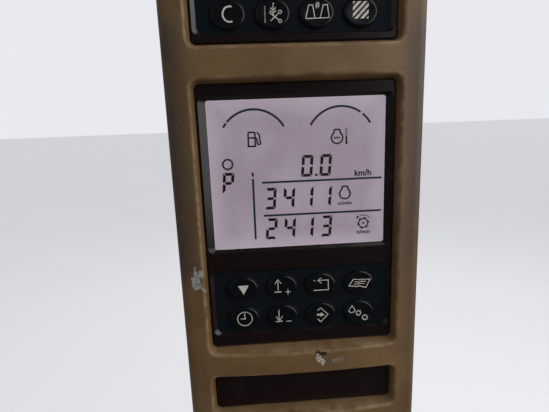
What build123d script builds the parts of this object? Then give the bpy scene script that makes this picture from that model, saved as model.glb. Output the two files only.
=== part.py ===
from build123d import *
from math import atan2, degrees, radians, tan
import os

# Corner-post display console from the cab of a combine harvester.
#
# A tan moulded cover carries three black modules behind windows in its face:
# a display with one row of keys at the top, the main display with two rows in
# the middle, and a narrow strip of warning lamps behind a smoked panel. The
# back is open, and four threaded inserts in it take the screws that hold the
# console to the cab's corner post.
#
# Millimetres. X runs to the reader's right, the face looks along -Y, Z is up.
# The origin is the middle of the four inserts, in the plane of the rear rim.
# A "depth" below is a distance forward of that plane.

# Across: the screen leads, and the cover's width adds up from it
screen_w = 107.0         # what shows of a screen
cheek = 4.2              # slope beside it
land = 1.0               # flat rim of a front plate, outside its slopes
fit_gap = 0.5            # raised face to collar
collar_draft = 1.3       # a collar's side leans in by this between face and seat
stile = 15.5             # plain cover beside a window

# Down: what each display holds, and the plain cover between the windows
screen_h = 90.8
head_margin = 10.5       # top of a window to the top of its screen
first_row = 26.4         # foot of the screen to the middle of the first keys
key_pitch_z = 20.5
upper_rows = 1
main_rows = 2
upper_foot = 16.5        # middle of the last keys to the foot of the window
main_foot = 20.5
strip_h = 28.1
end_margin = 31.5        # cover above the top window and below the last
upper_bridge = 18.6      # cover between the two displays
lower_bridge = 17.4      # cover between main display and lamp strip

# Through: everything hangs on the crest of the face
cover_depth = 60.5       # rear rim to the crest of the face
crown = 5.5              # rise of the middle of the face over its edges
reveal = 5.0             # edge of the face back to the modules' seat
plate_t = 2.5            # front plate where it laps the collar's end
raise_t = 1.5            # its face stands this far forward of the seat
recess = 1.7             # screens and keypad floors lie this deep in it
display_t = 27.5         # housing of a display
strip_t = 20.5           # housing of the lamp strip

# Cover
wall = 3.0
flank_draft = 1.0        # degrees
edge_r = 6.5             # vertical edges between face and flanks
end_r = 6.0              # edges between face and ends
collar_wall = 3.0
window_r = 3.2           # corners of a window at the seat
rim_r = 1.8              # rounding of a window's rim
boss_r = 3.8             # screw bosses for the modules
boss_clear = 0.8         # boss to flank, bridged by a gusset
boss_hole_r = 1.5
boss_hole_l = 14.0
gusset = 2.4
web = 2.4                # cross webs between the modules
web_back = 4.0           # webs stop this far forward of the displays' backs
pass_w = 71.0            # notch in a web for the harness
pass_h = 17.0
flank_rib = 1.8          # stiffening ribs inside the flanks
flank_rib_h = 3.0
flank_ribs = 3           # between each display's ears
mount_boss_r = 6.5
mount_inset = 14.0       # inserts in from the ends, and from the flanks
insert_r = 4.0
insert_hole_r = 2.5
insert_l = 12.0

# Front plates
brow = 2.0               # slope above and below a screen
screen_r = 1.8
screen_lap = 1.6         # glass hidden behind the plate
slope_r = 4.0
face_edge_bevel = 0.6
pocket_gap = 0.3         # screens and keypads in their pockets

# Keypads
key_columns = 4
pan_side = 2.2           # slope beside a keypad's floor
pan_brow = 1.0           # slope above and below it
pan_above = 11.4         # floor above the middle of the first keys
pan_below = 9.8          # floor below the middle of the last
key_w = 20.5             # foot of a key's pedestal
key_h = 17.2
key_end = 7.75           # end of the floor to the first key
key_shoulder = 0.7       # slope of the pedestal
key_foot = 0.9           # height of the pedestal
key_cap = 1.5            # height of the hard cap on it
key_cap_bevel = 1.0
key_dish = 0.3           # depth of the hollow in its top
key_dish_margin = 0.4    # flat left outside the hollow

# Housings
housing_inset = 1.7      # in from the edge of the front plate
housing_r = 5.0
housing_bevel = 1.4
housing_draft = 1.5      # degrees
ear_r = 4.2
ear_hole_r = 2.1
ear_t = 3.0
ear_rise = 7.0           # ears forward of the back of a display
strip_ear_rise = 3.0     # and of the lamp strip
ear_inset = 24.0         # in from the top and foot of a display
panel_inset = 11.0       # raised panel on a display's back
panel_t = 1.6
panel_draft = 30.0       # degrees
case_screw_r = 3.4       # counterbores in the housing's corners
case_screw_l = 5.0
case_screw_inset = 7.5   # in from the housing's sides
vent_w = 2.2
vent_pitch = 6.0
vent_l = 26.0
vents = 9
vent_t = 1.2             # depth of a vent's slot
vent_rise = 14.0         # vents above the middle of a display

# Harness sockets
socket_w = 27.0
socket_h = 13.0
socket_l = 11.0
socket_wall = 1.5
socket_floor = 2.5
socket_key = 2.4         # rib that the plug's slot fits
flange_w = 2.5           # lip round a socket's foot
flange_t = 1.2
socket_rise = 30.0       # middle of a display's sockets above its housing's foot
socket_spread = 28.0     # main display's sockets either side of its middle

# Widths and depths worked out from the values above
recess_w = screen_w + 2 * cheek
glass_w = screen_w + 2 * screen_lap
glass_h = screen_h + 2 * screen_lap
raised_w = recess_w + 2 * land
opening_w = raised_w + 2 * fit_gap
window_w = opening_w + 2 * collar_draft
width = window_w + 2 * stile
plate_w = opening_w + 2 * collar_wall
housing_w = plate_w - 2 * housing_inset
panel_w = housing_w - 2 * panel_inset
case_w = housing_w - 2 * case_screw_inset
pan_w = recess_w - 2 * pan_side
key_pitch_x = (pan_w - 2 * key_end - key_w) / (key_columns - 1)
inner_half = width / 2 - wall
face_edge = cover_depth - crown
seat = face_edge - reveal
plate_back = seat - plate_t
face = seat + raise_t
floor = face - recess
display_back = plate_back - display_t
strip_back = plate_back - strip_t
web_end = display_back + web_back
collar_lean = degrees(atan2(collar_draft, reveal))
flank_lean = tan(radians(flank_draft))
boss_x = inner_half - boss_clear - boss_r

# A side of the middle, and the alignment that makes a gusset run out from it
sides = [(-1, Align.MAX), (1, Align.MIN)]

# Windows from the top down: name, rows of keys, height, cover below
upper_h = head_margin + screen_h + first_row + (upper_rows - 1) * key_pitch_z + upper_foot
main_h = head_margin + screen_h + first_row + (main_rows - 1) * key_pitch_z + main_foot
windows = [
    ("upper", upper_rows, upper_h, upper_bridge),
    ("main", main_rows, main_h, lower_bridge),
    ("strip", 0, strip_h, end_margin),
]
height = end_margin + sum(window_h + below for name, rows, window_h, below in windows)
mount_x = width / 2 - mount_inset
mount_z = height / 2 - mount_inset


class Module:
    """Heights and places of one module, from its row of the table of windows."""

    def __init__(self, name, rows, window_top, window_h):
        self.name = name
        self.rows = rows
        self.window_h = window_h
        self.middle = window_top - window_h / 2
        self.opening_h = window_h - 2 * collar_draft
        self.raised_h = self.opening_h - 2 * fit_gap
        self.plate_h = self.opening_h + 2 * collar_wall
        self.housing_h = self.plate_h - 2 * housing_inset
        self.back = display_back if rows else strip_back
        self.ear_back = self.back + (ear_rise if rows else strip_ear_rise)
        ear_half = self.housing_h / 2 - ear_inset
        self.ears = [self.middle - ear_half, self.middle + ear_half] if rows else [self.middle]
        self.screen_z = window_top - head_margin - screen_h / 2
        first = self.screen_z - screen_h / 2 - first_row
        self.row_z = [first - row * key_pitch_z for row in range(rows)]
        if rows:
            self.pan_h = pan_above + (rows - 1) * key_pitch_z + pan_below
            self.pan_z = first + pan_above - self.pan_h / 2


modules = []
window_top = height / 2 - end_margin
for name, rows, window_h, below in windows:
    modules.append(Module(name, rows, window_top, window_h))
    window_top -= window_h + below
displays = [module for module in modules if module.rows]
upper, main, strip = modules

os.makedirs("parts", exist_ok=True)


def save(builder, label):
    """Names a finished piece and writes its file."""
    builder.part.label = label
    export_step(builder.part, f"parts/{label}.step")


def form(inset, back):
    """The cover's outer form drawn in by inset, from the depth back forward to the face."""
    half = width / 2 - inset
    edge = face_edge - inset
    flare = flank_lean * (face_edge - back)
    with BuildPart() as solid:
        with BuildSketch(Plane.XY.offset(inset - height / 2)) as plan:
            with BuildLine():
                Polyline((-half, -edge), (-half - flare, -back), (half + flare, -back), (half, -edge))
                ThreePointArc((half, -edge), (0, inset - cover_depth), (-half, -edge))
            make_face()
            fillet(plan.vertices().group_by(Axis.Y)[0], radius=edge_r - inset)
        extrude(amount=height - 2 * inset)
        ends = solid.faces().filter_by(Axis.Z).edges()
        fillet(ends.filter_by(lambda e: e.center().Y < -back - edge_r), radius=end_r - inset)
    return solid.part


# What stands inside the moulded cover: each piece runs on into the cover's wall
with BuildPart() as insides:
    for module in modules:
        # Collar, still closed, whose end is the seat of the module's front plate
        with BuildSketch(Plane.XZ.offset(seat)):
            with Locations((0, module.middle)):
                RectangleRounded(plate_w, module.plate_h, window_r + collar_wall)
        extrude(amount=cover_depth - seat)

        # Screw bosses for the module, each tied to its flank by a gusset
        boss_end = module.ear_back + ear_t
        with BuildSketch(Plane.XZ.offset(boss_end)):
            for z in module.ears:
                for side, outward in sides:
                    with Locations((side * boss_x, z)):
                        Circle(boss_r)
                        Rectangle(width / 2 - boss_x, gusset, align=(outward, Align.CENTER))
        extrude(amount=cover_depth - boss_end)

    # Ribs up the flanks between each display's ears
    for module in displays:
        step = (module.ears[1] - module.ears[0]) / (flank_ribs + 1)
        with BuildSketch(Plane.XZ.offset(web_end)):
            for side, outward in sides:
                with Locations((side * (inner_half - flank_rib_h), module.middle)):
                    with GridLocations(0, step, 1, flank_ribs):
                        Rectangle(flank_rib_h + wall, flank_rib, align=(outward, Align.CENTER))
        extrude(amount=cover_depth - web_end)

    # Bosses for the inserts, tied to the flanks and to the ends
    with BuildSketch(Plane.XZ):
        for side, outward in sides:
            for end, endward in sides:
                with Locations((side * mount_x, end * mount_z)):
                    Circle(mount_boss_r)
                    Rectangle(mount_inset, gusset, align=(outward, Align.CENTER))
                    Rectangle(gusset, mount_inset, align=(Align.CENTER, endward))
    extrude(amount=cover_depth)

    # Webs across the cover between the modules, notched for the harness
    for above, below in zip(modules, modules[1:]):
        gap_top = above.middle - above.window_h / 2
        gap_foot = below.middle + below.window_h / 2
        with BuildSketch(Plane.XY.offset((gap_top + gap_foot - web) / 2)):
            with Locations((0, -web_end)):
                Rectangle(width, cover_depth - web_end, align=(Align.CENTER, Align.MAX))
                SlotOverall(pass_w, pass_h, mode=Mode.SUBTRACT)
        extrude(amount=web)

    # All of them end halfway through the wall
    add(form(wall / 2, -wall), mode=Mode.INTERSECT)

# The moulded cover
with BuildPart() as post_cover:
    add(form(0, 0))
    add(form(wall, -wall), mode=Mode.SUBTRACT)
    add(insides.part)

    # Drafted windows through the collars, whose rims are then rounded
    for module in modules:
        with BuildSketch(Plane.XZ.offset(seat)):
            with Locations((0, module.middle)):
                RectangleRounded(opening_w, module.opening_h, window_r)
        extrude(amount=cover_depth - seat + wall, taper=-collar_lean, mode=Mode.SUBTRACT)
        rim = post_cover.edges(Select.LAST).filter_by(lambda e: e.center().Y < -face_edge)
        fillet(rim, radius=rim_r)

    # Holes for the modules' screws and for the inserts
    for module in modules:
        with BuildSketch(Plane.XZ.offset(module.ear_back + ear_t)):
            with Locations(*[(side * boss_x, z) for z in module.ears for side, outward in sides]):
                Circle(boss_hole_r)
        extrude(amount=boss_hole_l, mode=Mode.SUBTRACT)
    with BuildSketch(Plane.XZ):
        with GridLocations(2 * mount_x, 2 * mount_z, 2, 2):
            Circle(insert_r)
    extrude(amount=insert_l, mode=Mode.SUBTRACT)
save(post_cover, "post_cover")

# Brass inserts in the rear bosses
corners = [
    ("upper_left", -1, 1),
    ("upper_right", 1, 1),
    ("lower_left", -1, -1),
    ("lower_right", 1, -1),
]
for corner, side, end in corners:
    with BuildPart() as insert:
        with BuildSketch(Plane.XZ):
            with Locations((side * mount_x, end * mount_z)):
                Circle(insert_r)
                Circle(insert_hole_r, mode=Mode.SUBTRACT)
        extrude(amount=insert_l)
    save(insert, f"insert_{corner}")


def raised_plate(module):
    """A front plate that laps its collar's end and stands forward inside it."""
    with BuildPart() as plate:
        with BuildSketch(Plane.XZ.offset(plate_back)):
            with Locations((0, module.middle)):
                RectangleRounded(plate_w, module.plate_h, window_r + collar_wall)
        extrude(amount=plate_t)
        with BuildSketch(Plane.XZ.offset(seat)):
            with Locations((0, module.middle)):
                RectangleRounded(raised_w, module.raised_h, window_r - fit_gap)
        extrude(amount=raise_t)
        chamfer(plate.faces().sort_by(Axis.Y)[0].outer_wire().edges(), length=face_edge_bevel)
    return plate.part


for module in displays:
    # Front plate, with sloped recesses for screen and keypad and pockets behind them
    recesses = [
        (module.screen_z, screen_w, screen_h, screen_r, brow),
        (module.pan_z, pan_w, module.pan_h, slope_r, pan_brow),
    ]
    with BuildPart() as bezel:
        add(raised_plate(module))
        for z, floor_w, floor_h, floor_r, lift in recesses:
            with BuildSketch(Plane.XZ.offset(floor)):
                with Locations((0, z)):
                    RectangleRounded(floor_w, floor_h, floor_r)
            with BuildSketch(Plane.XZ.offset(face)):
                with Locations((0, z)):
                    RectangleRounded(recess_w, floor_h + 2 * lift, slope_r)
            loft(mode=Mode.SUBTRACT)
        with BuildSketch(Plane.XZ.offset(plate_back)):
            with Locations((0, module.screen_z)):
                Rectangle(glass_w + 2 * pocket_gap, glass_h + 2 * pocket_gap)
            with Locations((0, module.pan_z)):
                RectangleRounded(pan_w + 2 * pocket_gap, module.pan_h + 2 * pocket_gap, slope_r)
        extrude(amount=floor - plate_back, mode=Mode.SUBTRACT)
    save(bezel, f"{module.name}_bezel")

    with BuildPart() as screen:
        with BuildSketch(Plane.XZ.offset(plate_back)):
            with Locations((0, module.screen_z)):
                Rectangle(glass_w, glass_h)
        extrude(amount=floor - plate_back)
    save(screen, f"{module.name}_screen")

    # Rubber keypad with a sloped pedestal under each key
    left = -(key_columns - 1) / 2 * key_pitch_x
    places = [(left + column * key_pitch_x, z) for z in module.row_z for column in range(key_columns)]
    with BuildPart() as keypad:
        with BuildSketch(Plane.XZ.offset(plate_back)):
            with Locations((0, module.pan_z)):
                RectangleRounded(pan_w, module.pan_h, slope_r)
        extrude(amount=floor - plate_back)
        for place in places:
            with BuildSketch(Plane.XZ.offset(floor)):
                with Locations(place):
                    Ellipse(key_w / 2, key_h / 2)
            with BuildSketch(Plane.XZ.offset(floor + key_foot)):
                with Locations(place):
                    Ellipse(key_w / 2 - key_shoulder, key_h / 2 - key_shoulder)
            loft()
    save(keypad, f"{module.name}_keypad")

    # Hard caps with bevelled edges and a shallow hollow to guide the finger
    hollow_r = key_h / 2 - key_shoulder - key_cap_bevel - key_dish_margin
    sphere_r = (hollow_r ** 2 + key_dish ** 2) / (2 * key_dish)
    crest = floor + key_foot + key_cap
    for number, place in enumerate(places, 1):
        with BuildPart() as key:
            with BuildSketch(Plane.XZ.offset(floor + key_foot)):
                with Locations(place):
                    Ellipse(key_w / 2 - key_shoulder, key_h / 2 - key_shoulder)
            extrude(amount=key_cap)
            chamfer(key.faces().sort_by(Axis.Y)[0].edges(), length=key_cap_bevel)
            with Locations((place[0], key_dish - crest - sphere_r, place[1])):
                Sphere(sphere_r, mode=Mode.SUBTRACT)
        save(key, f"{module.name}_key_{number}")

# Smoked panel over the warning lamps
with BuildPart() as strip_panel:
    add(raised_plate(strip))
save(strip_panel, "strip_panel")

# Housings, with drafted sides and ears that seat on the cover's bosses
for module in modules:
    with BuildPart() as housing:
        with BuildSketch(Plane.XZ.offset(plate_back)):
            with Locations((0, module.middle)):
                RectangleRounded(housing_w, module.housing_h, housing_r)
        extrude(amount=module.back - plate_back, taper=housing_draft)
        chamfer(housing.faces().sort_by(Axis.Y)[-1].edges(), length=housing_bevel)
        for z in module.ears:
            with BuildSketch(Plane.XZ.offset(module.ear_back)):
                with Locations((0, z)):
                    SlotCenterToCenter(2 * boss_x, 2 * ear_r)
            extrude(amount=ear_t)
            with BuildSketch(Plane.XZ.offset(module.ear_back)):
                with Locations((-boss_x, z), (boss_x, z)):
                    Circle(ear_hole_r)
            extrude(amount=ear_t, mode=Mode.SUBTRACT)

        # A display's back: raised panel with vents, and counterbores for the case screws
        if module.rows:
            panel_h = module.housing_h - 2 * panel_inset
            case_h = module.housing_h - 2 * case_screw_inset
            with BuildSketch(Plane.XZ.offset(module.back)):
                with Locations((0, module.middle)):
                    RectangleRounded(panel_w, panel_h, housing_r)
            extrude(amount=-panel_t, taper=panel_draft)
            with BuildSketch(Plane.XZ.offset(module.back - panel_t)):
                with Locations((0, module.middle + vent_rise)):
                    with GridLocations(vent_pitch, 0, vents, 1):
                        Rectangle(vent_w, vent_l)
            extrude(amount=vent_t, mode=Mode.SUBTRACT)
            with BuildSketch(Plane.XZ.offset(module.back)):
                with Locations((0, module.middle)):
                    with GridLocations(case_w, case_h, 2, 2):
                        Circle(case_screw_r)
            extrude(amount=case_screw_l, mode=Mode.SUBTRACT)
    save(housing, f"{module.name}_housing")

# Sockets for the harness, open to the rear, one or two in the back of each module
panel_back = display_back - panel_t
upper_rise = upper.middle - upper.housing_h / 2 + socket_rise
main_rise = main.middle - main.housing_h / 2 + socket_rise
mouth_w = socket_w - 2 * socket_wall
mouth_h = socket_h - 2 * socket_wall
flange_r = socket_wall + flange_w
sockets = [
    ("upper_socket", 0, upper_rise, panel_back),
    ("main_power_socket", -socket_spread, main_rise, panel_back),
    ("main_data_socket", socket_spread, main_rise, panel_back),
    ("strip_socket", 0, strip.middle, strip_back),
]
for label, x, z, foot in sockets:
    with BuildPart() as socket:
        with BuildSketch(Plane.XZ.offset(foot)):
            with Locations((x, z)):
                RectangleRounded(socket_w + 2 * flange_w, socket_h + 2 * flange_w, flange_r)
        extrude(amount=-flange_t)
        with BuildSketch(Plane.XZ.offset(foot - socket_l)):
            with Locations((x, z)):
                RectangleRounded(socket_w, socket_h, socket_wall)
        extrude(amount=socket_l)
        with BuildSketch(Plane.XZ.offset(foot - socket_l)):
            with Locations((x, z)):
                Rectangle(mouth_w, mouth_h)
            with Locations((x, z + mouth_h / 2)):
                key_align = (Align.CENTER, Align.MAX)
                Rectangle(socket_key, socket_wall, align=key_align, mode=Mode.SUBTRACT)
        extrude(amount=socket_l - socket_floor, mode=Mode.SUBTRACT)
    save(socket, label)
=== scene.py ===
from math import cos, pi, radians, sin

import bmesh
import bpy
from mathutils import Matrix, Vector


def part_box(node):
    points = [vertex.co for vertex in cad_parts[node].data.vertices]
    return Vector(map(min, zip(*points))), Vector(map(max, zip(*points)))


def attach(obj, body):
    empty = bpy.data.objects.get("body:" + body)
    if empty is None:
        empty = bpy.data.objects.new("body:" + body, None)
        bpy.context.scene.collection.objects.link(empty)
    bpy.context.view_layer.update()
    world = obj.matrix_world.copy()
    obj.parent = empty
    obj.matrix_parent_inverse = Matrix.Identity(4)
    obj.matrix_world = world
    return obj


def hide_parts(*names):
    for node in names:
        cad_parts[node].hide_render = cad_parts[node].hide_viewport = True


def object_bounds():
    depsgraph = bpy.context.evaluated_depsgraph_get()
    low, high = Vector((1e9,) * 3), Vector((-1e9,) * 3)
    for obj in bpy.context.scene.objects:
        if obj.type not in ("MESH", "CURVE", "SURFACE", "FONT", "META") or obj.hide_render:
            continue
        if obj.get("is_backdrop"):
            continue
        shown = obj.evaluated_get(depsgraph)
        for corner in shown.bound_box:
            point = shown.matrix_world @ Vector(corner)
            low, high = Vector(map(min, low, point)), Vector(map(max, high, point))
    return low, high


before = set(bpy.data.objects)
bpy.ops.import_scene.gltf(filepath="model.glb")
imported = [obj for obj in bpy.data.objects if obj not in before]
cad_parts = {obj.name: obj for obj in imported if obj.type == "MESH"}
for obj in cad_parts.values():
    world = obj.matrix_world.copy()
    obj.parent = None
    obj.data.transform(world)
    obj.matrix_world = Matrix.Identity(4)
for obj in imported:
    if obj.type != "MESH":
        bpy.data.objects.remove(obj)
cad_low, cad_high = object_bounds()
mm = 0.001

# Camera: in front of the main display and a little to its left, tipped down
# and rolled as a hand-held shot is. The focal length is in pixels of a
# picture 549 pixels wide.
picture_w = 549
focal_length = 400
sensor_w = 36
eye = Vector((-28.8, -291.3, 1.9)) * mm
camera_turn = 3.2
camera_dip = 11.91
camera_roll = -2.15

camera = bpy.data.objects.new("camera", bpy.data.cameras.new("camera"))
camera.data.sensor_width = sensor_w
camera.data.lens = sensor_w * focal_length / picture_w
camera.data.clip_start = 0.01
turned = Matrix.Rotation(radians(-camera_turn), 4, "Z")
tipped = Matrix.Rotation(radians(90 - camera_dip), 4, "X")
rolled = Matrix.Rotation(radians(camera_roll), 4, "Z")
camera.matrix_world = Matrix.Translation(eye) @ turned @ tipped @ rolled
bpy.context.collection.objects.link(camera)
bpy.context.scene.camera = camera


# Post cover: one moulding in tan plastic with a fine pebbled grain. Its rims
# are rubbed pale and carry a painted highlight, painted shade darkens the
# stiles and the right edge, the left stile is scuffed beside the main display
# and the bridge below it is chipped, with a painted shadow along the chip's top edge.
tan = (95, 71, 41)
tan_deep = (86, 62, 33)
tan_pale = (124, 106, 76)
shade_brown = (49, 38, 27)
dust = (106, 95, 79)
scuff_pale = (125, 131, 131)
chip_pale = (162, 160, 149)
chip_dark = (22, 16, 11)
mottle_size = 30 * mm
grain_size = 1.0 * mm
grain_height = 0.09 * mm
fine_grain_size = 0.33 * mm
cover_patch = 7 * mm
window_inset_x = 1.2 * mm     # edge of a window in the face, in from its front plate's
window_inset_z = 0.6 * mm
window_corner = 5 * mm
rim_reach = 2.2 * mm
stile_inner = 56 * mm         # painted shade thickens from here out
stile_outer = 72 * mm
stile_shade_high = 70 * mm          # painted shade darkens the stiles between these heights
stile_shade_low = -105 * mm
stile_shade_fade = 25 * mm
shade_rear = -25 * mm
edge_shade_inner = 62 * mm        # painted shade darkens the right edge from here out
edge_shade_outer = 74 * mm
face_low = -53 * mm
face_high = -56 * mm
scuff_warp = 2.2 * mm
scuff_edge = 0.25 * mm
scuff_grain = 1.3 * mm
scuff_strokes = [             # start, end, half width, in mm on the face
    ((-66.1, -83.8), (-66.2, -89.0), 0.55),
    ((-62.8, -86.8), (-62.7, -89.2), 1.1),
    ((-66.6, -90.8), (-62.9, -89.2), 0.95),
    ((-66.0, -87.5), (-64.6, -93.0), 1.2),
    ((-67.6, -91.4), (-66.5, -97.2), 1.5),
    ((-65.6, -92.2), (-64.2, -96.2), 1.8),
    ((-63.8, -96.4), (-60.8, -100.2), 0.5),
    ((-60.8, -100.2), (-59.6, -98.0), 0.45),
]
chip_strokes = [
    ((8.6, -146.1), (8.1, -149.1), 0.45),
    ((8.3, -149.5), (10.8, -152.3), 0.8),
    ((10.0, -148.3), (12.6, -151.7), 1.0),
    ((12.0, -151.9), (11.6, -154.1), 0.5),
]
chip_shadows = [
    ((7.7, -144.8), (13.6, -145.5), 0.65),
    ((10.6, -146.1), (13.2, -146.5), 0.7),
]
chip_smear = ((19.0, -151.4), (24.2, -150.9), 1.5)
smear_edge = 3 * scuff_edge
chip_depth = 0.5 * mm
chip_grain = 0.8 * mm


class Wire:
    """An output in a node tree. Maths written on it adds Math nodes."""

    def __init__(self, tree, socket=None):
        self.tree = tree
        self.socket = socket

    def add(self, kind, inputs=None, output=0, **settings):
        """Adds a node: its settings first, then a value, a wire or a list of wires for each input."""
        node = self.tree.nodes.new(kind)
        for name, value in settings.items():
            setattr(node, name, value)
        for name, value in (inputs or {}).items():
            if isinstance(value, (Wire, list)):
                for wire in value if isinstance(value, list) else [value]:
                    self.tree.links.new(wire.socket, node.inputs[name])
            else:
                node.inputs[name].default_value = value
        return Wire(self.tree, node.outputs[output]) if node.outputs else None

    def maths(self, operation, *values):
        return self.add("ShaderNodeMath", dict(enumerate(values)), operation=operation)

    def __add__(self, other):
        return self.maths("ADD", self, other)

    def __sub__(self, other):
        return self.maths("SUBTRACT", self, other)

    def __rsub__(self, other):
        return self.maths("SUBTRACT", other, self)

    def __mul__(self, other):
        return self.maths("MULTIPLY", self, other)

    def __truediv__(self, other):
        return self.maths("DIVIDE", self, other)

    def __pow__(self, other):
        return self.maths("POWER", self, other)

    def __abs__(self):
        return self.maths("ABSOLUTE", self)

    __radd__ = __add__
    __rmul__ = __mul__


def most(first, second):
    return first.maths("MAXIMUM", first, second)


def least(first, *others):
    for other in others:
        first = first.maths("MINIMUM", first, other)
    return first


def split(vector):
    """The three parts of a vector."""
    parts = vector.add("ShaderNodeSeparateXYZ", {0: vector})
    return [Wire(vector.tree, socket) for socket in parts.socket.node.outputs]


def rise(value, low, high):
    """From 0 at low to 1 at high, smooth between and level beyond."""
    ends = {"Value": value, "From Min": low, "From Max": high}
    return value.add("ShaderNodeMapRange", ends, interpolation_type="SMOOTHSTEP")


def noise(place, size, detail, rough=0.5):
    """Noise with lumps of about this size."""
    inputs = {"Vector": place, "Scale": 1 / size, "Detail": detail, "Roughness": rough}
    return place.add("ShaderNodeTexNoise", inputs)


def seen(color):
    """A colour as it looks on a screen, from 0 to 255, turned into linear light."""
    parts = [part / 255 for part in color]
    light = [part / 12.92 if part < 0.04 else ((part + 0.055) / 1.055) ** 2.4 for part in parts]
    return (*light, 1)


def tint(share, under, over):
    """A colour that goes from under to over as share goes from 0 to 1."""
    ends = [color if isinstance(color, Wire) else seen(color) for color in (under, over)]
    return share.add("ShaderNodeMix", {0: share, 6: ends[0], 7: ends[1]}, 2, data_type="RGBA")


def bumps(height, tallest, **under):
    """The normal of a surface raised by height times tallest, over another normal if one is given."""
    return height.add("ShaderNodeBump", {"Height": height, "Distance": tallest, **under}, "Normal")


def new_finish(name, constants=None):
    """A material, its shader, and the Object coordinates that its patterns are drawn on."""
    material = bpy.data.materials.new(name)
    material.use_nodes = True
    shader = material.node_tree.nodes["Principled BSDF"]
    for socket, value in (constants or {}).items():
        shader.inputs[socket].default_value = value
    place = Wire(material.node_tree).add("ShaderNodeTexCoord", output="Object")
    return material, shader, place


def feed(shader, color, roughness=None, normal=None, glow=None):
    """Links what changes over a surface to its shader."""
    wires = {"Base Color": color, "Roughness": roughness, "Normal": normal, "Emission Color": glow}
    for socket, wire in wires.items():
        if wire:
            wire.tree.links.new(wire.socket, shader.inputs[socket])


def dress(material, *nodes):
    """Gives nodes from the CAD model their finish."""
    for node in nodes:
        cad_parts[node].material_slots[0].material = material


def window_gap(x, z, front_plate):
    """Distance along the face out from the edge of a front plate's window."""
    low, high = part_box(front_plate)
    middle = (low + high) / 2
    half = (high - low) / 2
    across = abs(x - middle.x) - (half.x - window_inset_x - window_corner)
    along = abs(z - middle.z) - (half.z - window_inset_z - window_corner)
    corner = (most(across, 0) ** 2 + most(along, 0) ** 2) ** 0.5
    return corner + least(most(across, along), 0) - window_corner


def stroke_gap(x, z, start, end, half_width):
    """Distance out from a straight stroke, given in mm."""
    run_x = (end[0] - start[0]) * mm
    run_z = (end[1] - start[1]) * mm
    across = x - start[0] * mm
    along = z - start[1] * mm
    share = (across * run_x + along * run_z) / (run_x ** 2 + run_z ** 2)
    share = share.add("ShaderNodeClamp", {0: share})
    return ((across - share * run_x) ** 2 + (along - share * run_z) ** 2) ** 0.5 - half_width * mm


cover_tan, shader, place = new_finish("cover_tan", {"Specular IOR Level": 0.32})
x, y, z = split(place)
upward = split(place.add("ShaderNodeNewGeometry", output="Normal"))[2]
on_face = rise(y, face_low, face_high)
patches = noise(place, cover_patch, 4, 0.6)
specks = noise(place, fine_grain_size * 3, 3)
# Painted shade in a darker brown: on the stiles between two heights, in patches, and along the right edge
stile_shade = rise(z, stile_shade_high, stile_shade_high - stile_shade_fade) * rise(z, stile_shade_low, stile_shade_low + stile_shade_fade)
stile_shade = (stile_shade * 0.75 + 0.25) * rise(abs(x), stile_inner, stile_outer)
stile_shade = stile_shade * rise(noise(place, mottle_size, 4), 0.1, 0.5) * rise(y, shade_rear, face_low)
edge_shade = rise(x, edge_shade_inner, edge_shade_outer) * rise(y, shade_rear, face_low)
warp_x = x + (noise(place, scuff_warp, 3) - 0.5) * scuff_warp
warp_z = z + (specks - 0.5) * scuff_warp

rim_gap = least(*[window_gap(x, z, plate) for plate in ("upper_bezel", "main_bezel", "strip_panel")])
# Pale band along the window rims: rubbed wear and a painted highlight
rim_wear_and_highlight = rise(abs(rim_gap), rim_reach, 0) * on_face * rise(patches, 0.35, 0.7)
dusty = rise(upward, 0.35, 0.95) * rise(patches, 0.3, 0.7)


def marked(strokes, edge=scuff_edge):
    """A share that is 1 on the strokes and 0 off them, on the cover's face."""
    gaps = [stroke_gap(warp_x, warp_z, *stroke) for stroke in strokes]
    return rise(least(*gaps), edge, -edge) * on_face


grit = noise(place, scuff_grain, 3, 0.6)
scuffed = marked(scuff_strokes) * rise(grit, 0.3, 0.5)
chipped = marked(chip_strokes) * rise(noise(place, chip_grain, 3), 0.32, 0.5)
smeared = marked([chip_smear], smear_edge) * rise(grit, 0.35, 0.6)
shadow = marked(chip_shadows)

color = tint(rise(noise(place, mottle_size, 3), 0.35, 0.65), tan_deep, tan)
# Painted shade on the stiles and the right edge
color = tint(most(stile_shade * 0.85, edge_shade * 0.5), color, shade_brown)
color = tint(rise(specks, 0.45, 0.85) * 0.2, color, tan_pale)
color = tint(dusty * 0.35, color, dust)
# Rubbed wear and a painted highlight on the rims
color = tint(rim_wear_and_highlight * 0.6, color, tan_pale)
color = tint(scuffed * 0.85 + smeared * 0.35, color, scuff_pale)
color = tint(chipped * 0.9, color, chip_pale)
color = tint(shadow, color, chip_dark)
cells = {"Vector": place, "Scale": 1 / grain_size, "Smoothness": 0.6}
pebbles = place.add("ShaderNodeTexVoronoi", cells, feature="SMOOTH_F1")
grain = bumps(pebbles + noise(place, fine_grain_size, 3) * 0.5, grain_height)
feed(shader, color,
     0.5 + patches * 0.12 + dusty * 0.15,
     bumps(1 - shadow - chipped * 0.5, chip_depth, Normal=grain))
dress(cover_tan, "post_cover")


# Threaded inserts: four turned brass bushes pressed into the cover's rear
# bosses, each with a ring face flush with the boss and a cut thread.
brass = (196, 160, 96)
brass_dull = (140, 108, 60)
thread_pitch = 1 * mm
thread_depth = 0.5 * mm
thread_root = 3 * mm
circle_steps = 32

insert_brass, shader, place = new_finish("insert_brass", {"Metallic": 1.0})
tarnish = noise(place, 2.5 * mm, 4, 0.6)
feed(shader, tint(rise(tarnish, 0.35, 0.7), brass, brass_dull),
     0.24 + tarnish * 0.3,
     bumps(noise(place, 0.3 * mm, 2), 0.01 * mm))


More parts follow.
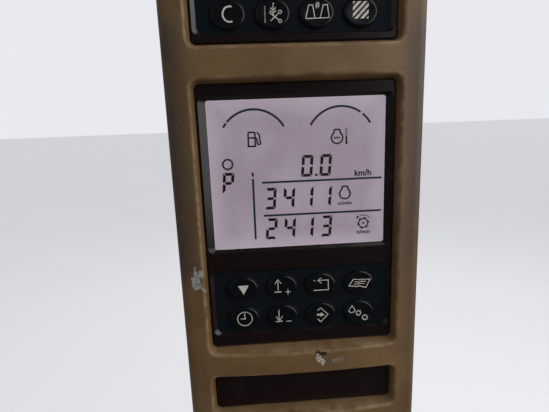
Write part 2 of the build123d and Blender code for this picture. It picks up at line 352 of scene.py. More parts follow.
def new_tree(name, *sizes):
    """Starts a geometry tree with these inputs, and gives the wires of its points and its sizes."""
    tree = bpy.data.node_groups.new(name, "GeometryNodeTree")
    tree.interface.new_socket("Geometry", in_out="OUTPUT", socket_type="NodeSocketGeometry")
    tree.interface.new_socket("Points", in_out="INPUT", socket_type="NodeSocketGeometry")
    for size in sizes:
        tree.interface.new_socket(size, in_out="INPUT", socket_type="NodeSocketFloat")
    given = tree.nodes.new("NodeGroupInput")
    return [Wire(tree, socket) for socket in given.outputs if socket.name]


def end_tree(shape, material):
    """Makes a tree's instances real, sets their material, and gives the tree."""
    real = shape.add("GeometryNodeRealizeInstances", {"Geometry": shape})
    done = real.add("GeometryNodeSetMaterial", {"Geometry": real, "Material": material})
    done.add("NodeGroupOutput", {"Geometry": done})
    return shape.tree


def add_object(name, data):
    added = bpy.data.objects.new(name, data)
    bpy.context.collection.objects.link(added)
    return added


def plain_mesh(thing):
    """What an object's modifiers or its letters make."""
    bpy.context.view_layer.update()
    return bpy.data.meshes.new_from_object(thing.evaluated_get(bpy.context.evaluated_depsgraph_get()))


def run_tree(name, tree, points, sizes, marks=None):
    """Runs a tree on points, with numbers marked on them, and keeps the plain mesh."""
    seeds = bpy.data.meshes.new(name)
    seeds.from_pydata(points, [], [])
    for mark, values in (marks or {}).items():
        seeds.attributes.new(mark, "FLOAT", "POINT").data.foreach_set("value", values)
    piece = add_object(name, seeds)
    growth = piece.modifiers.new("growth", "NODES")
    growth.node_group = tree
    for socket in tree.interface.items_tree:
        if socket.name in sizes:
            growth[socket.identifier] = sizes[socket.name]
    mesh = plain_mesh(piece)
    piece.modifiers.clear()
    piece.data = mesh
    return piece


def swept(path, profile):
    """A closed solid of a profile along a path, level all the way."""
    level = path.add("GeometryNodeSetCurveNormal", {"Curve": path}, mode="Z_UP")
    inputs = {"Curve": level, "Profile Curve": profile, "Fill Caps": True}
    return level.add("GeometryNodeCurveToMesh", inputs)


def vector(start, **parts):
    return start.add("ShaderNodeCombineXYZ", parts)


def moved(shape, by, turned=(0, 0, 0)):
    return shape.add("GeometryNodeTransform", {"Geometry": shape, "Translation": by, "Rotation": turned})


def joined(*shapes):
    return shapes[0].add("GeometryNodeJoinGeometry", {"Geometry": list(shapes)})


def set_on(points, shape, turned=(0, 0, 0), chosen=True):
    """A copy of a shape on each point, or on the chosen ones."""
    inputs = {"Points": points, "Instance": shape, "Rotation": turned, "Selection": chosen}
    return points.add("GeometryNodeInstanceOnPoints", inputs)


corners = [f"insert_{end}_{side}" for end in ("upper", "lower") for side in ("left", "right")]
rear_rings = []
for corner in corners:
    low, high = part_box(corner)
    rear_rings.append(((low.x + high.x) / 2, high.y, (low.z + high.z) / 2))
insert_r = (high.x - low.x) / 2
insert_l = high.y - low.y

start, radius, root, length, pitch, depth = new_tree(
    "mount_inserts", "Radius", "Root", "Length", "Pitch", "Depth")
wall = radius - root
round_path = {"Resolution": circle_steps, "Radius": root + wall / 2}
round_path = start.add("GeometryNodeCurvePrimitiveCircle", round_path, "Curve")
section = start.add("GeometryNodeCurvePrimitiveQuadrilateral", {"Width": wall, "Height": length})
helix = start.add("GeometryNodeCurveSpiral", {
    "Resolution": circle_steps, "Rotations": length / pitch - 1, "Start Radius": root, "End Radius": root,
    "Height": length - pitch})
ridge = start.add("GeometryNodeCurvePrimitiveCircle", {"Resolution": 3, "Radius": depth}, "Curve")
thread = moved(swept(helix, ridge), vector(start, Z=pitch * 0.5 - length * 0.5))
bush = joined(swept(round_path, section), thread)
bush = moved(bush, vector(start, Y=length * -0.5), (pi / 2, 0, 0))
tree = end_tree(set_on(start, bush), insert_brass)
piece = run_tree("mount_inserts", tree, rear_rings, {
    "Radius": insert_r, "Root": thread_root, "Length": insert_l,
    "Pitch": thread_pitch, "Depth": thread_depth})
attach(piece, "root")
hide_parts(*corners)


# Housings: black boxes moulded with a spark-eroded texture. Pan-head screws
# hold their halves together in deep corner holes, and others hold their ears
# to the cover's bosses.
housing_black = (38, 38, 40)
housing_worn = (62, 61, 60)
screw_steel = (70, 70, 74)
screw_bright = (120, 120, 124)
ear_x = 68.4 * mm
ear_inset = 24 * mm
display_ear_y = -27 * mm
strip_ear_y = -30 * mm
case_screw_x = 53 * mm
case_screw_inset = 7.5 * mm
case_screw_floor = -25 * mm
ear_head_r = 3.5 * mm
case_head_r = 2.9 * mm
head_rise = 0.65              # height for its radius
head_side = 1.15              # a ball stretched by these and cut off level makes the pan
head_top = 1.25
recess_w = 0.85 * mm
recess_reach = 1.15           # length for the head's radius, and depth for its height
recess_depth = 1.2
screw_turn = 1.5              # the most that one is turned, in radians
screw_seed = 4
weld = 0.001 * mm             # corners closer than this are one
near_zero = 0.0001            # keeps a division from failing in the middle of a head

shell, shader, place = new_finish("housing_black")
patches = noise(place, 14 * mm, 4, 0.6)
sparks = noise(place, 0.35 * mm, 3, 0.6)
feed(shader, tint(rise(patches, 0.45, 0.75) * 0.4, housing_black, housing_worn),
     0.55 + sparks * 0.2,
     bumps(sparks, 0.05 * mm))
dress(shell, "upper_housing", "main_housing", "strip_housing")

steel, shader, place = new_finish("screw_steel", {"Metallic": 1.0})
scratches = noise(place, 0.8 * mm, 4, 0.7)
feed(shader, tint(rise(scratches, 0.5, 0.75), screw_steel, screw_bright),
     0.3 + scratches * 0.2,
     bumps(scratches, 0.01 * mm))

start, radius, height, recess = new_tree("screw_heads", "Radius", "Height", "Recess")
ball = start.add("GeometryNodeMeshUVSphere", {"Segments": circle_steps, "Rings": 16, "Radius": 1.0}, "Mesh")
x, y, z = split(start.add("GeometryNodeInputPosition"))
spread = (x ** 2 + y ** 2 + near_zero) ** 0.5
out = least(spread * head_side, 1) / spread * radius
lift = least(most(z, 0) * head_top, 1) * height
where = vector(start, X=x * out, Y=y * out, Z=lift)
head = start.add("GeometryNodeSetPosition", {"Geometry": ball, "Position": where})
head = start.add("GeometryNodeMergeByDistance", {"Geometry": head, "Distance": weld})
arm = radius * recess_reach
for length, width in ((arm, recess), (recess, arm)):
    size = vector(start, X=length, Y=width, Z=height * recess_depth)
    blade = moved(start.add("GeometryNodeMeshCube", {"Size": size}, "Mesh"), vector(start, Z=height))
    head = start.add("GeometryNodeMeshBoolean", {"Mesh 1": head, "Mesh 2": blade}, "Mesh",
                     operation="DIFFERENCE", solver="EXACT")
heads = set_on(start, head, (-pi / 2, 0, 0))
turn = start.add("FunctionNodeRandomValue", {"Min": 0.0, "Max": screw_turn, "Seed": screw_seed}, 1)
heads = start.add("GeometryNodeRotateInstances", {"Instances": heads, "Rotation": vector(start, Z=turn)})
tree = end_tree(heads, steel)


def in_pairs(x, y, *rows):
    """A place at the left and one at the right in each row."""
    return [(side * x, y, row) for row in rows for side in (-1, 1)]


ear_places = []
case_places = []
for housing in ("upper_housing", "main_housing"):
    low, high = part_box(housing)
    ear_places += in_pairs(ear_x, display_ear_y, low.z + ear_inset, high.z - ear_inset)
    rows = low.z + case_screw_inset, high.z - case_screw_inset
    case_places += in_pairs(case_screw_x, case_screw_floor, *rows)
low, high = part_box("strip_housing")
ear_places += in_pairs(ear_x, strip_ear_y, (low.z + high.z) / 2)
screws = [("ear_screws", ear_places, ear_head_r), ("case_screws", case_places, case_head_r)]
for name, places, radius in screws:
    sizes = {"Radius": radius, "Height": radius * head_rise, "Recess": recess_w}
    piece = run_tree(name, tree, places, sizes)
    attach(piece, "root")


# Harness sockets: grey headers soldered inside the modules, with two rows of
# brass blades behind a keyed mouth that opens to the rear.
socket_grey = (112, 112, 114)
socket_worn = (134, 133, 130)
pin_columns = 8
pin_rows = 2
pin_pitch = 2.5 * mm
row_pitch = 4 * mm
pin_w = 0.7 * mm
pin_l = 6 * mm
pin_tip = 0.2                 # the tip's radius for the pin's width
socket_floor = 2.5 * mm

header, shader, place = new_finish("socket_grey")
patches = noise(place, 5 * mm, 4, 0.6)
feed(shader, tint(rise(patches, 0.4, 0.7), socket_grey, socket_worn),
     0.5 + patches * 0.15,
     bumps(noise(place, 0.4 * mm, 3), 0.03 * mm))
sockets = ("upper_socket", "main_power_socket", "main_data_socket", "strip_socket")
dress(header, *sockets)

start, column_gap, row_gap, width, length = new_tree(
    "socket_pins", "Column pitch", "Row pitch", "Pin width", "Pin length")
board = start.add("GeometryNodeMeshGrid", {
    "Size X": column_gap * (pin_columns - 1), "Size Y": row_gap,
    "Vertices X": pin_columns, "Vertices Y": pin_rows}, "Mesh")
blade = start.add("GeometryNodeMeshCube", {"Size": vector(start, X=width, Y=width, Z=length)}, "Mesh")
point = start.add("GeometryNodeMeshCone", {
    "Vertices": 4, "Radius Top": width * pin_tip, "Radius Bottom": width * 0.707, "Depth": width}, "Mesh")
blade = moved(blade, vector(start, Z=length / 2))
point = moved(point, vector(start, Z=length), (0, 0, pi / 4))
pins = set_on(board, joined(blade, point))
tree = end_tree(set_on(start, pins, (-pi / 2, 0, 0)), insert_brass)
mouths = []
for socket in sockets:
    low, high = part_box(socket)
    mouths.append(((low.x + high.x) / 2, low.y + socket_floor, (low.z + high.z) / 2))
piece = run_tree("socket_pins", tree, mouths, {
    "Column pitch": pin_pitch, "Row pitch": row_pitch, "Pin width": pin_w, "Pin length": pin_l})
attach(piece, "root")


# Front plates: moulded black plastic with a satin gloss, sloped in to the
# screen and the keypad. Dust lies on what faces up, and in specks.
bezel_black = (20, 11, 12)
bezel_dusty = (38, 32, 31)

bezel, shader, place = new_finish("bezel_black", {"Specular IOR Level": 0.36})
patches = noise(place, 9 * mm, 5, 0.65)
specks = noise(place, 0.7 * mm, 3, 0.6)
upward = split(place.add("ShaderNodeNewGeometry", output="Normal"))[2]
dusty = rise(upward, 0.2, 0.9) * rise(patches, 0.4, 0.7) + rise(specks, 0.64, 0.8) * 0.3
feed(shader, tint(dusty * 0.25, bezel_black, bezel_dusty),
     0.2 + patches * 0.12 + dusty * 0.1,
     bumps(noise(place, 0.5 * mm, 3), 0.008 * mm))
dress(bezel, "upper_bezel", "main_bezel")


# Screens: grey liquid-crystal panels under an anti-glare film, with a dark
# seal line and a painted highlight along the edge where they meet the front
# plate. Their border is painted lighter, as if lit more.
screen_ground = (165, 151, 164)
screen_shade = (151, 136, 148)
screen_bright = (188, 173, 187)
screen_seal = (44, 34, 40)
screen_edge_highlight = (205, 192, 199)
screen_lap = 1.6 * mm         # glass hidden behind the front plate
seal_w = 0.2 * mm
edge_w = 0.6 * mm
glow_w = 13 * mm              # the border is lit more
film = {"Specular IOR Level": 0.3, "Coat Weight": 0.1, "Coat Roughness": 0.25}


def screen_finish(name, node):
    """The finish of one panel, whose border follows the edge that shows."""
    material, shader, place = new_finish(name, film)
    low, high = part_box(node)
    middle = (low + high) / 2
    x, y, z = split(place)
    inward = least((high.x - low.x) / 2 - screen_lap - abs(x - middle.x),
                   (high.z - low.z) / 2 - screen_lap - abs(z - middle.z))
    cloud = noise(place, 34 * mm, 4, 0.55)
    ground = tint(rise(cloud, 0.3, 0.7), screen_shade, screen_ground)
    ground = tint(rise(noise(place, 0.5 * mm, 2), 0.3, 0.8) * 0.2, ground, screen_shade)
    # The border is painted lighter and the edge gets a painted highlight
    ground = tint(rise(inward, glow_w, 0) * 0.6, ground, screen_bright)
    ground = tint(rise(inward, seal_w + edge_w, seal_w) * 0.7, ground, screen_edge_highlight)
    ground = tint(rise(inward, seal_w, seal_w * 0.6), ground, screen_seal)
    feed(shader, ground,
         0.42 + noise(place, 1.1 * mm, 2) * 0.1,
         bumps(noise(place, 0.25 * mm, 2), 0.004 * mm))
    dress(material, node)


screen_finish("main_screen_film", "main_screen")
screen_finish("upper_screen_film", "upper_screen")


# What the main screen shows: two arched gauges with red ends, the gear, the
# speed, two rates of turning, and a sign beside each. The liquid crystal
# darkens in thin patches just under the film.
ink_colors = {
    "ink_black": (9, 4, 11), "ink_green": (4, 33, 33), "ink_red": (54, 7, 15), "ink_faint": (101, 91, 102),
}
ink_fade = 12
ink_proud = 0.05 * mm
layer = 0.002 * mm            # each strip lies this much over the last, to keep crossings clean
bar_w = 1.75 * mm
bar_gap = 0.3 * mm            # from where two bars would meet to the end of each, along it
mitre_limit = 0.35            # keeps a sharp corner's tip short
digit_slant = 0.085

inks = {}
for ink, color in ink_colors.items():
    inks[ink], shader, place = new_finish(ink, film)
    faded = [part + ink_fade for part in color]
    feed(shader, tint(rise(noise(place, 3 * mm, 4, 0.6), 0.45, 0.8), color, faded),
         0.4 + noise(place, 1.1 * mm, 2) * 0.1)


def closed_piece(name, made, material):
    """An object of a closed bmesh, with its faces turned outwards."""
    bmesh.ops.recalc_face_normals(made, faces=made.faces)
    mesh = bpy.data.meshes.new(name)
    made.to_mesh(mesh)
    made.free()
    mesh.materials.append(material)
    return add_object(name, mesh)


class Print:
    """Thin closed strips laid on a surface and gathered into one mesh. Points are (x, z) in metres."""

    def __init__(self, surface, proud=ink_proud):
        self.mesh = bmesh.new()
        self.surface = surface
        self.proud = proud
        self.sunk = proud

    def strip(self, points, widths, closed=False):
        """A strip along points, of one width or a width at each, with mitred corners."""
        points = [Vector(point) for point in points]
        count = len(points)
        if not isinstance(widths, list):
            widths = [widths] * count
        rails = []
        for i, (point, width) in enumerate(zip(points, widths)):
            before = (point - points[i - 1]).normalized() if closed or i else None
            after = (points[(i + 1) % count] - point).normalized() if closed or i < count - 1 else before
            before = before or after
            side = (before + after).normalized().orthogonal()
            reach = width / 2 / max(mitre_limit, abs(side.dot(before.orthogonal())))
            rails.append([point + side * reach, point - side * reach])
        self.band(rails, closed)

    def band(self, rails, closed=False):
        """A strip between two edges, given as pairs of points across it."""
        count = len(rails)
        self.proud += layer
        corners = []
        for pair in rails:
            for sunk in (-self.proud, self.sunk):
                ends = [(p.x, self.surface(p.x, p.y) + sunk, p.y) for p in pair]
                corners.append([self.mesh.verts.new(end) for end in ends])
        fronts, backs = corners[::2], corners[1::2]
        for i in range(count if closed else count - 1):
            j = (i + 1) % count
            for side in (fronts, backs):
                self.mesh.faces.new((side[i][0], side[i][1], side[j][1], side[j][0]))
            for k in (0, 1):
                self.mesh.faces.new((fronts[i][k], fronts[j][k], backs[j][k], backs[i][k]))
        if not closed:
            for i in (0, count - 1):
                self.mesh.faces.new((fronts[i][0], fronts[i][1], backs[i][1], backs[i][0]))
        made = [corner for pair in corners for corner in pair]
        bmesh.ops.remove_doubles(self.mesh, verts=made, dist=weld / 2)

    def disc(self, x, z, radius, steps=12):
        """A round spot: a strip whose widths follow a circle."""
        angles = [pi * i / steps for i in range(steps + 1)]
        self.strip([(x - radius * cos(a), z) for a in angles], [2 * radius * sin(a) for a in angles])

    def letters(self, text, low, high, bolder):
        """Upright text that fills the box from low to high."""
        font = bpy.data.curves.new(text, "FONT")
        font.body = text
        font.extrude = 1
        font.offset = bolder
        flat = add_object("letters", font)
        mesh = plain_mesh(flat)
        bpy.data.objects.remove(flat)
        first = min(v.co.x for v in mesh.vertices), min(v.co.y for v in mesh.vertices)
        last = max(v.co.x for v in mesh.vertices), max(v.co.y for v in mesh.vertices)
        for v in mesh.vertices:
            x = low[0] + (v.co.x - first[0]) / (last[0] - first[0]) * (high[0] - low[0])
            z = low[1] + (v.co.y - first[1]) / (last[1] - first[1]) * (high[1] - low[1])
            v.co = (x, self.surface(x, z) + (-self.proud if v.co.z > 0 else self.sunk), z)
        self.mesh.from_mesh(mesh)


def arc(x, z, radius, first, last, steps=24):
    """Points round a centre, by angles in degrees from the right and upwards."""
    angles = [radians(first + (last - first) * i / steps) for i in range(steps + 1)]
    return [(x + radius * cos(a), z + radius * sin(a)) for a in angles]


def ring(x, z, radius, steps=32):
    return arc(x, z, radius, 0, 360, steps)[:-1]


def screen_sheet(node):
    """A screen's y, its surface, and a function from mm right of and below its top left corner."""
    low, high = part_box(node)
    left = low.x + screen_lap
    top = high.z - screen_lap
    return low.y, lambda x, z: low.y, lambda *points: [(left + x * mm, top - y * mm) for x, y in points]


glass, flat, at = screen_sheet("main_screen")

# Bars of the digits: a hexagon across the middle, and mitred bars whose long
# edge lies outwards, at the top and foot or up the sides
start, across, up, width, gap, thickness, slant, foot = new_tree(
    "digit_bars", "Across", "Up", "Width", "Gap", "Thickness", "Slant", "Foot")
kind, turn = [start.add("GeometryNodeInputNamedAttribute", {"Name": name}, data_type="FLOAT")
              for name in ("kind", "turn")]
turned = vector(start, Y=turn)
up = up / 2 + width / 2
shapes = (                    # length, mitre, and how much more the mitre is at the right end
    (across, 1, 0), (across + width * 0.65, 0.6, 0), (up, 0.7, -0.3), (up, 0.7, 0.3),
)
bars = []
for number, (length, mitre, lean) in enumerate(shapes):
    hexagon = start.add("GeometryNodeMeshCircle", {"Vertices": 6, "Radius": 1.0}, fill_type="NGON")
    x, y = split(start.add("GeometryNodeInputPosition"))[:2]
    row = y.maths("ROUND", y)
    shorter = 1 - row if number else abs(row)
    end = x.maths("SIGN", x)
    out = end * (length / 2 - gap - shorter * width / 2 * (end * lean + mitre))
    where = vector(start, X=out, Z=row * width / 2)
    plate = start.add("GeometryNodeSetPosition", {"Geometry": hexagon, "Position": where})
    raised = start.add("GeometryNodeExtrudeMesh", {"Mesh": plate, "Offset Scale": thickness}, mode="FACES")
    slab = joined(raised, start.add("GeometryNodeFlipFaces", {"Mesh": plate}))
    slab = start.add("GeometryNodeMergeByDistance", {"Geometry": slab, "Distance": weld})
    bars.append(set_on(start, slab, turned, 1 - least(abs(kind - number), 1)))
bars = start.add("GeometryNodeRealizeInstances", {"Geometry": joined(*bars)})
z = split(start.add("GeometryNodeInputPosition"))[2]
leaning = vector(start, X=(z - foot) * slant)
bars = start.add("GeometryNodeSetPosition", {"Geometry": bars, "Offset": leaning})
digit_tree = end_tree(bars, inks["ink_black"])

bar_places = {                # across and up in a digit one wide and two high, kind, quarter turns, push up
    "a": (0.5, 2, 1, 0, 0), "b": (1, 1.5, 2, 1, 1), "c": (1, 0.5, 3, 1, -1), "d": (0.5, 0, 1, 2, 0),
    "e": (0, 0.5, 2, 3, -1), "f": (0, 1.5, 3, 3, 1), "g": (0.5, 1, 0, 0, 0),
}
digit_bars = {
    "0": "abcdef", "1": "bc", "2": "abged", "3": "abcdg", "4": "bcfg", "5": "acdfg",
    "6": "acdefg", "P": "abefg",
}
digit_w = 5.15 * mm           # between the middles of its bars
digit_h = 11.7 * mm
digit_pitch = 11.45 * mm


def readout(name, glass, digits, foot, pitch=digit_pitch, width=digit_w, height=digit_h):
    """A row of digits by the middles of its bars: foot is the lower left of the first."""
    places = []
    marks = {"kind": [], "turn": []}
    for number, digit in enumerate(digits):
        for bar in digit_bars[digit]:
            across, rise_by, kind, turns, push = bar_places[bar]
            up = rise_by * height / 2 + push * bar_w / 4
            places.append((foot[0] + number * pitch + across * width, glass + layer, foot[1] + up))
            marks["kind"].append(float(kind))
            marks["turn"].append(turns * pi / 2)
    sizes = {"Across": width, "Up": height, "Width": bar_w, "Gap": bar_gap,
             "Thickness": ink_proud, "Slant": digit_slant, "Foot": foot[1]}
    piece = run_tree(name, digit_tree, places, sizes, marks)
    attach(piece, "root")


readout("main_screen_gear", glass, "P", at((7.8, 54.45))[0], width=5.0 * mm, height=11.0 * mm)
readout("main_screen_speed", glass, "00", at((56.0, 46.1))[0], pitch=11.35 * mm, height=11.45 * mm)
readout("main_screen_engine_rate", glass, "3411", at((32.9, 65.45))[0])
readout("main_screen_rotor_rate", glass, "2413", at((32.9, 84.6))[0])

gauge_r = 20.9 * mm
gauge_w = 1.25 * mm
fuel, heat, rotor = at((27.4, 26.7), (79.7, 26.6), (93.95, 78.0))
rule_w = 1.2 * mm
line_w = 0.92 * mm
fine_w = 0.72 * mm
neck_turn = 58                # where a flask's round body meets its neck, in degrees

green = Print(flat)
green.strip(arc(*fuel, gauge_r, 137.5, 30), gauge_w)
green.strip(arc(*heat, gauge_r, 150, 55), gauge_w)
for y in (49.5, 70.2):
    green.strip(at((31.2, y), (105.1, y)), rule_w)
green.strip(at((25.7, 46.9), (25.7, 85.1)), rule_w)

red = Print(flat)
red.strip(arc(*fuel, gauge_r, 148.5, 140, 4), gauge_w)
red.strip(arc(*heat, gauge_r, 50.5, 30.5, 8), gauge_w)
red.strip(at((25.7, 43.0), (25.7, 45.4)), rule_w)

# Fuel pump: an outline with a bar across it, a wide base and a looped hose
black = Print(flat)
pump = at((24.0, 27.2), (24.1, 19.6), (24.6, 19.05), (27.6, 19.05), (28.1, 19.6), (28.1, 27.2))
black.strip(pump, line_w)
black.strip(at((24.1, 22.35), (28.2, 22.35)), line_w)
black.strip(at((23.4, 27.3), (28.8, 27.3)), line_w)
black.strip(at((28.1, 22.3), (28.9, 22.6), (29.3, 23.4), (29.3, 25.3), (29.6, 26.1), (30.3, 26.4),
               (31.0, 26.1), (31.3, 25.4), (30.9, 23.2), (30.9, 21.4), (30.3, 20.1), (29.3, 19.2)),
            line_w * 0.95)


def flask(x, y, radius, half_neck, top):
    """An engine's outline as signs draw it: a round body under a flat-topped neck."""
    black.strip(arc(*at((x, y))[0], radius, 180 - neck_turn, 360 + neck_turn, 30), line_w)
    reach = radius * cos(radians(neck_turn)) / mm
    foot = y - radius * sin(radians(neck_turn)) / mm
    left, right = x - half_neck, x + half_neck
    black.strip(at((x - reach, foot), (left, top + 0.8), (left + 0.5, top), (right - 0.5, top),
                   (right, top + 0.8), (x + reach, foot)), line_w)


# Coolant sign, a flask with a wave in it and a thermometer beside it, and
# the engine sign, a plain flask
flask(77.5, 24.2, 3.45 * mm, 1.95, 19.3)
wave = at((75.5, 24.7), (76.05, 23.95), (76.7, 24.35), (77.5, 23.95), (78.4, 24.25), (79.3, 23.9))
black.strip(wave, fine_w)
black.strip(at((83.17, 23.2), (83.17, 27.2)), line_w * 1.1)
black.disc(*at((83.17, 27.4))[0], 0.75 * mm)
flask(82.25, 58.6, 3.3 * mm, 1.85, 54.0)


def cog(x, z, radius, knobs, knob_r, first):
    """A thin ring with round knobs on it."""
    black.strip(ring(x, z, radius), fine_w, closed=True)
    for point in arc(x, z, radius + knob_r / 2, first, first + 360, knobs)[:-1]:
        black.disc(*point, knob_r, 8)


# Gear sign, decimal point and rotor sign, with a faint arrow over it
cog(*at((11.04, 37.47))[0], 2.8 * mm, 12, 0.55 * mm, 3)
black.strip(at((63.75, 46.15), (65.2, 46.15)), 1.4 * mm)
cog(*rotor, 2.9 * mm, 6, 0.68 * mm, 11)
black.disc(*rotor, 0.7 * mm, 8)
black.strip(at((89.8, 74.6), (90.9, 73.5)), line_w * 1.2)
black.letters("km/h", *at((88.3, 47.9), (98.6, 44.0)), 0.02)
black.letters("n/min", *at((77.9, 65.6), (86.5, 63.3)), 0.016)
black.letters("n/min", *at((89.9, 84.9), (98.2, 82.4)), 0.016)
faint = Print(flat)
faint.strip(arc(*rotor, 5.1 * mm, 38, 114, 16), fine_w)
faint.strip(at((83.17, 18.8), (83.17, 23.0)), line_w * 1.3)

sheets = [(green, "scales", "ink_green"), (red, "limits", "ink_red"), (black, "signs", "ink_black"),
          (faint, "faint", "ink_faint")]
for sheet, part, ink in sheets:
    piece = closed_piece(f"main_screen_{part}", sheet.mesh, inks[ink])
    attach(piece, "root")


# What the upper screen shows: the header's height and a loss meter of short
# bars, with their readings. It is out of the picture and follows the main one.
loss_bars = 9
loss_shortest = 4.5           # in mm, as is all that is laid out with at
loss_step = 1.9
loss_pitch = 4.9
loss_w = 3.1 * mm
glass, flat, at = screen_sheet("upper_screen")

readout("upper_screen_height", glass, "64", at((14.4, 35.4))[0])
readout("upper_screen_loss", glass, "25", at((14.4, 77.4))[0])
green = Print(flat)
for y in (9.0, 44.5):
    green.strip(at((8.0, y), (99.0, y)), rule_w)
green.strip(at((47.0, 13.0), (47.0, 85.0)), rule_w)
black = Print(flat)
for number in range(loss_bars):
    tall = loss_shortest + loss_step * number
    x = 54.0 + loss_pitch * number
    for foot, height in ((78.0, tall), (36.0, tall * 0.8)):
        black.strip(at((x, foot), (x, foot - height)), loss_w)
black.letters("cm", *at((38.0, 36.0), (43.0, 33.4)), 0.02)
black.letters("%", *at((38.6, 78.0), (42.2, 74.4)), 0.02)
for sheet, part, ink in ((green, "scales", "ink_green"), (black, "signs", "ink_black")):
    piece = closed_piece(f"upper_screen_{part}", sheet.mesh, inks[ink])
    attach(piece, "root")


# Keypads: one black rubber mat behind each front plate, with a sloped
# pedestal under each key. Dust lies on it in patches and specks.
rubber = (13, 18, 22)
rubber_dusty = (24, 27, 28)

mat, shader, place = new_finish("keypad_rubber", {"Specular IOR Level": 0.05})
patches = noise(place, 6 * mm, 4, 0.6)
specks = noise(place, 0.6 * mm, 3, 0.6)
dusty = rise(patches, 0.45, 0.8) * 0.6 + rise(specks, 0.6, 0.75) * 0.4
feed(shader, tint(dusty * 0.4, rubber, rubber_dusty),
     0.4 + patches * 0.16,
     bumps(specks, 0.012 * mm))
dress(mat, "upper_keypad", "main_keypad")


# Key caps: hard black plastic ovals with a round edge and a shallow hollow
# for the finger, worn in patches by use.
cap_black = (8, 10, 13)
cap_worn = (20, 22, 25)
edge_r = 1.0 * mm
edge_steps = 6
hollow_margin = 1.4 * mm
hollow_depth = 0.3 * mm
hollow_steps = 8
oval_steps = 64
oval_angles = [2 * pi * step / oval_steps for step in range(oval_steps)]

caps, shader, place = new_finish("key_black", {"Specular IOR Level": 0.33})
patches = noise(place, 4 * mm, 4, 0.6)
specks = noise(place, 0.4 * mm, 3, 0.6)
feed(shader, tint(rise(patches, 0.45, 0.8) * 0.35 + rise(specks, 0.62, 0.8) * 0.2, cap_black, cap_worn),
     0.19 + patches * 0.12,
     bumps(specks, 0.008 * mm))


class Cap:
    """One key's cap, measured from its node."""

    def __init__(self, node):
        low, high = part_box(node)
        self.node = node
        self.x = (low.x + high.x) / 2
        self.z = (low.z + high.z) / 2
        self.half_w = (high.x - low.x) / 2
        self.half_h = (high.z - low.z) / 2
        self.front = low.y
        self.back = high.y

    def surface(self, x, z):
        """The y of the cap's top, which dips towards the middle."""
        across = (x - self.x) / (self.half_w - hollow_margin)
        along = (z - self.z) / (self.half_h - hollow_margin)
        return self.front + hollow_depth * max(0, 1 - across ** 2 - along ** 2)

    def oval(self, mesh, inset, y):
        """A ring of corners at y, drawn in from the outline by inset."""
        corners = []
        for a in oval_angles:
            out = Vector((cos(a) / self.half_w, sin(a) / self.half_h)).normalized()
            x = self.x + self.half_w * cos(a) - out.x * inset
            z = self.z + self.half_h * sin(a) - out.y * inset
            corners.append(mesh.verts.new((x, y, z)))
        return corners

    def hollow(self, mesh, share):
        """A ring of corners in the hollow, at a share of its way out from the middle."""
        corners = []
        for a in oval_angles:
            x = self.x + (self.half_w - hollow_margin) * share * cos(a)
            z = self.z + (self.half_h - hollow_margin) * share * sin(a)
            corners.append(mesh.verts.new((x, self.surface(x, z), z)))
        return corners

    def made(self):
        mesh = bmesh.new()
        ovals = [self.oval(mesh, 0, self.back)]
        for step in range(edge_steps + 1):
            a = pi / 2 * step / edge_steps
            ovals.append(self.oval(mesh, edge_r * (1 - cos(a)), self.front + edge_r * (1 - sin(a))))
        for step in range(hollow_steps):
            ovals.append(self.hollow(mesh, 1 - step / hollow_steps))
        middle = mesh.verts.new((self.x, self.surface(self.x, self.z), self.z))
        for i in range(oval_steps):
            j = (i + 1) % oval_steps
            for oval, inner in zip(ovals, ovals[1:]):
                mesh.faces.new((oval[i], oval[j], inner[j], inner[i]))
            mesh.faces.new((inner[i], inner[j], middle))
        mesh.faces.new(ovals[0])
        for face in mesh.faces:
            face.smooth = len(face.verts) < 5
        return closed_piece(self.node.replace("key", "key_cap"), mesh, caps)


keys = [Cap(f"upper_key_{number}") for number in range(1, 5)]
keys += [Cap(f"main_key_{number}") for number in range(1, 9)]
for key in keys:
    piece = key.made()
    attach(piece, "root")
    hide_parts(key.node)


# Signs on the keys: warm white ink printed on the caps, each a few strokes,
# given in mm right of and above the middle of its key.
sign_white = (172, 166, 156)
sign_grubby = (140, 134, 125)
sign_proud = 0.03 * mm
sign_line = 0.52              # in mm, as are all places and widths on the keys
sign_step = 0.9 * mm          # strips are cut this short to follow the hollow
round_steps = 28
hatch_half = 4.5
hatch_bar = 1.4
hatch_pitch = 2.4
hatch_steps = 10

sign_ink, shader, place = new_finish("key_ink")
patches = noise(place, 1.6 * mm, 4, 0.6)
feed(shader, tint(rise(patches, 0.4, 0.7), sign_white, sign_grubby),
     0.5 + patches * 0.15)


class Sign(Print):
    """A sign that follows the hollow of its key."""

    def __init__(self, key):
        super().__init__(key.surface, sign_proud)
        self.key = key

    def line(self, *points, width=sign_line, closed=False):
        """A strip through points in mm from the key's middle."""
        points = [Vector((self.key.x + x * mm, self.key.z + z * mm)) for x, z in points]
        widths = width if isinstance(width, list) else [width] * len(points)
        if closed:
            points.append(points[0])
            widths = widths + widths[:1]
        path = [points[0]]
        spread = [widths[0]]
        for a, b, first, last in zip(points, points[1:], widths, widths[1:]):
            steps = max(1, round((b - a).length / sign_step))
            for step in range(1, steps + 1):
                path.append(a.lerp(b, step / steps))
                spread.append(first + (last - first) * step / steps)
        if closed:
            path.pop()
            spread.pop()
        self.strip(path, [width * mm for width in spread], closed)

    def round(self, x, z, radius, width=sign_line):
        self.line(*ring(x, z, radius, round_steps), width=width, closed=True)

    def spot(self, x, z, radius):
        self.disc(self.key.x + x * mm, self.key.z + z * mm, radius * mm)


signs = [Sign(key) for key in keys]
cancel, cut, lanes, hatch, choose, raise_up, back, book, clock, lower, enter, feed_rate = signs

cancel.line(*arc(1.3, 0.1, 4.0, 72, 288, 20), width=0.92)

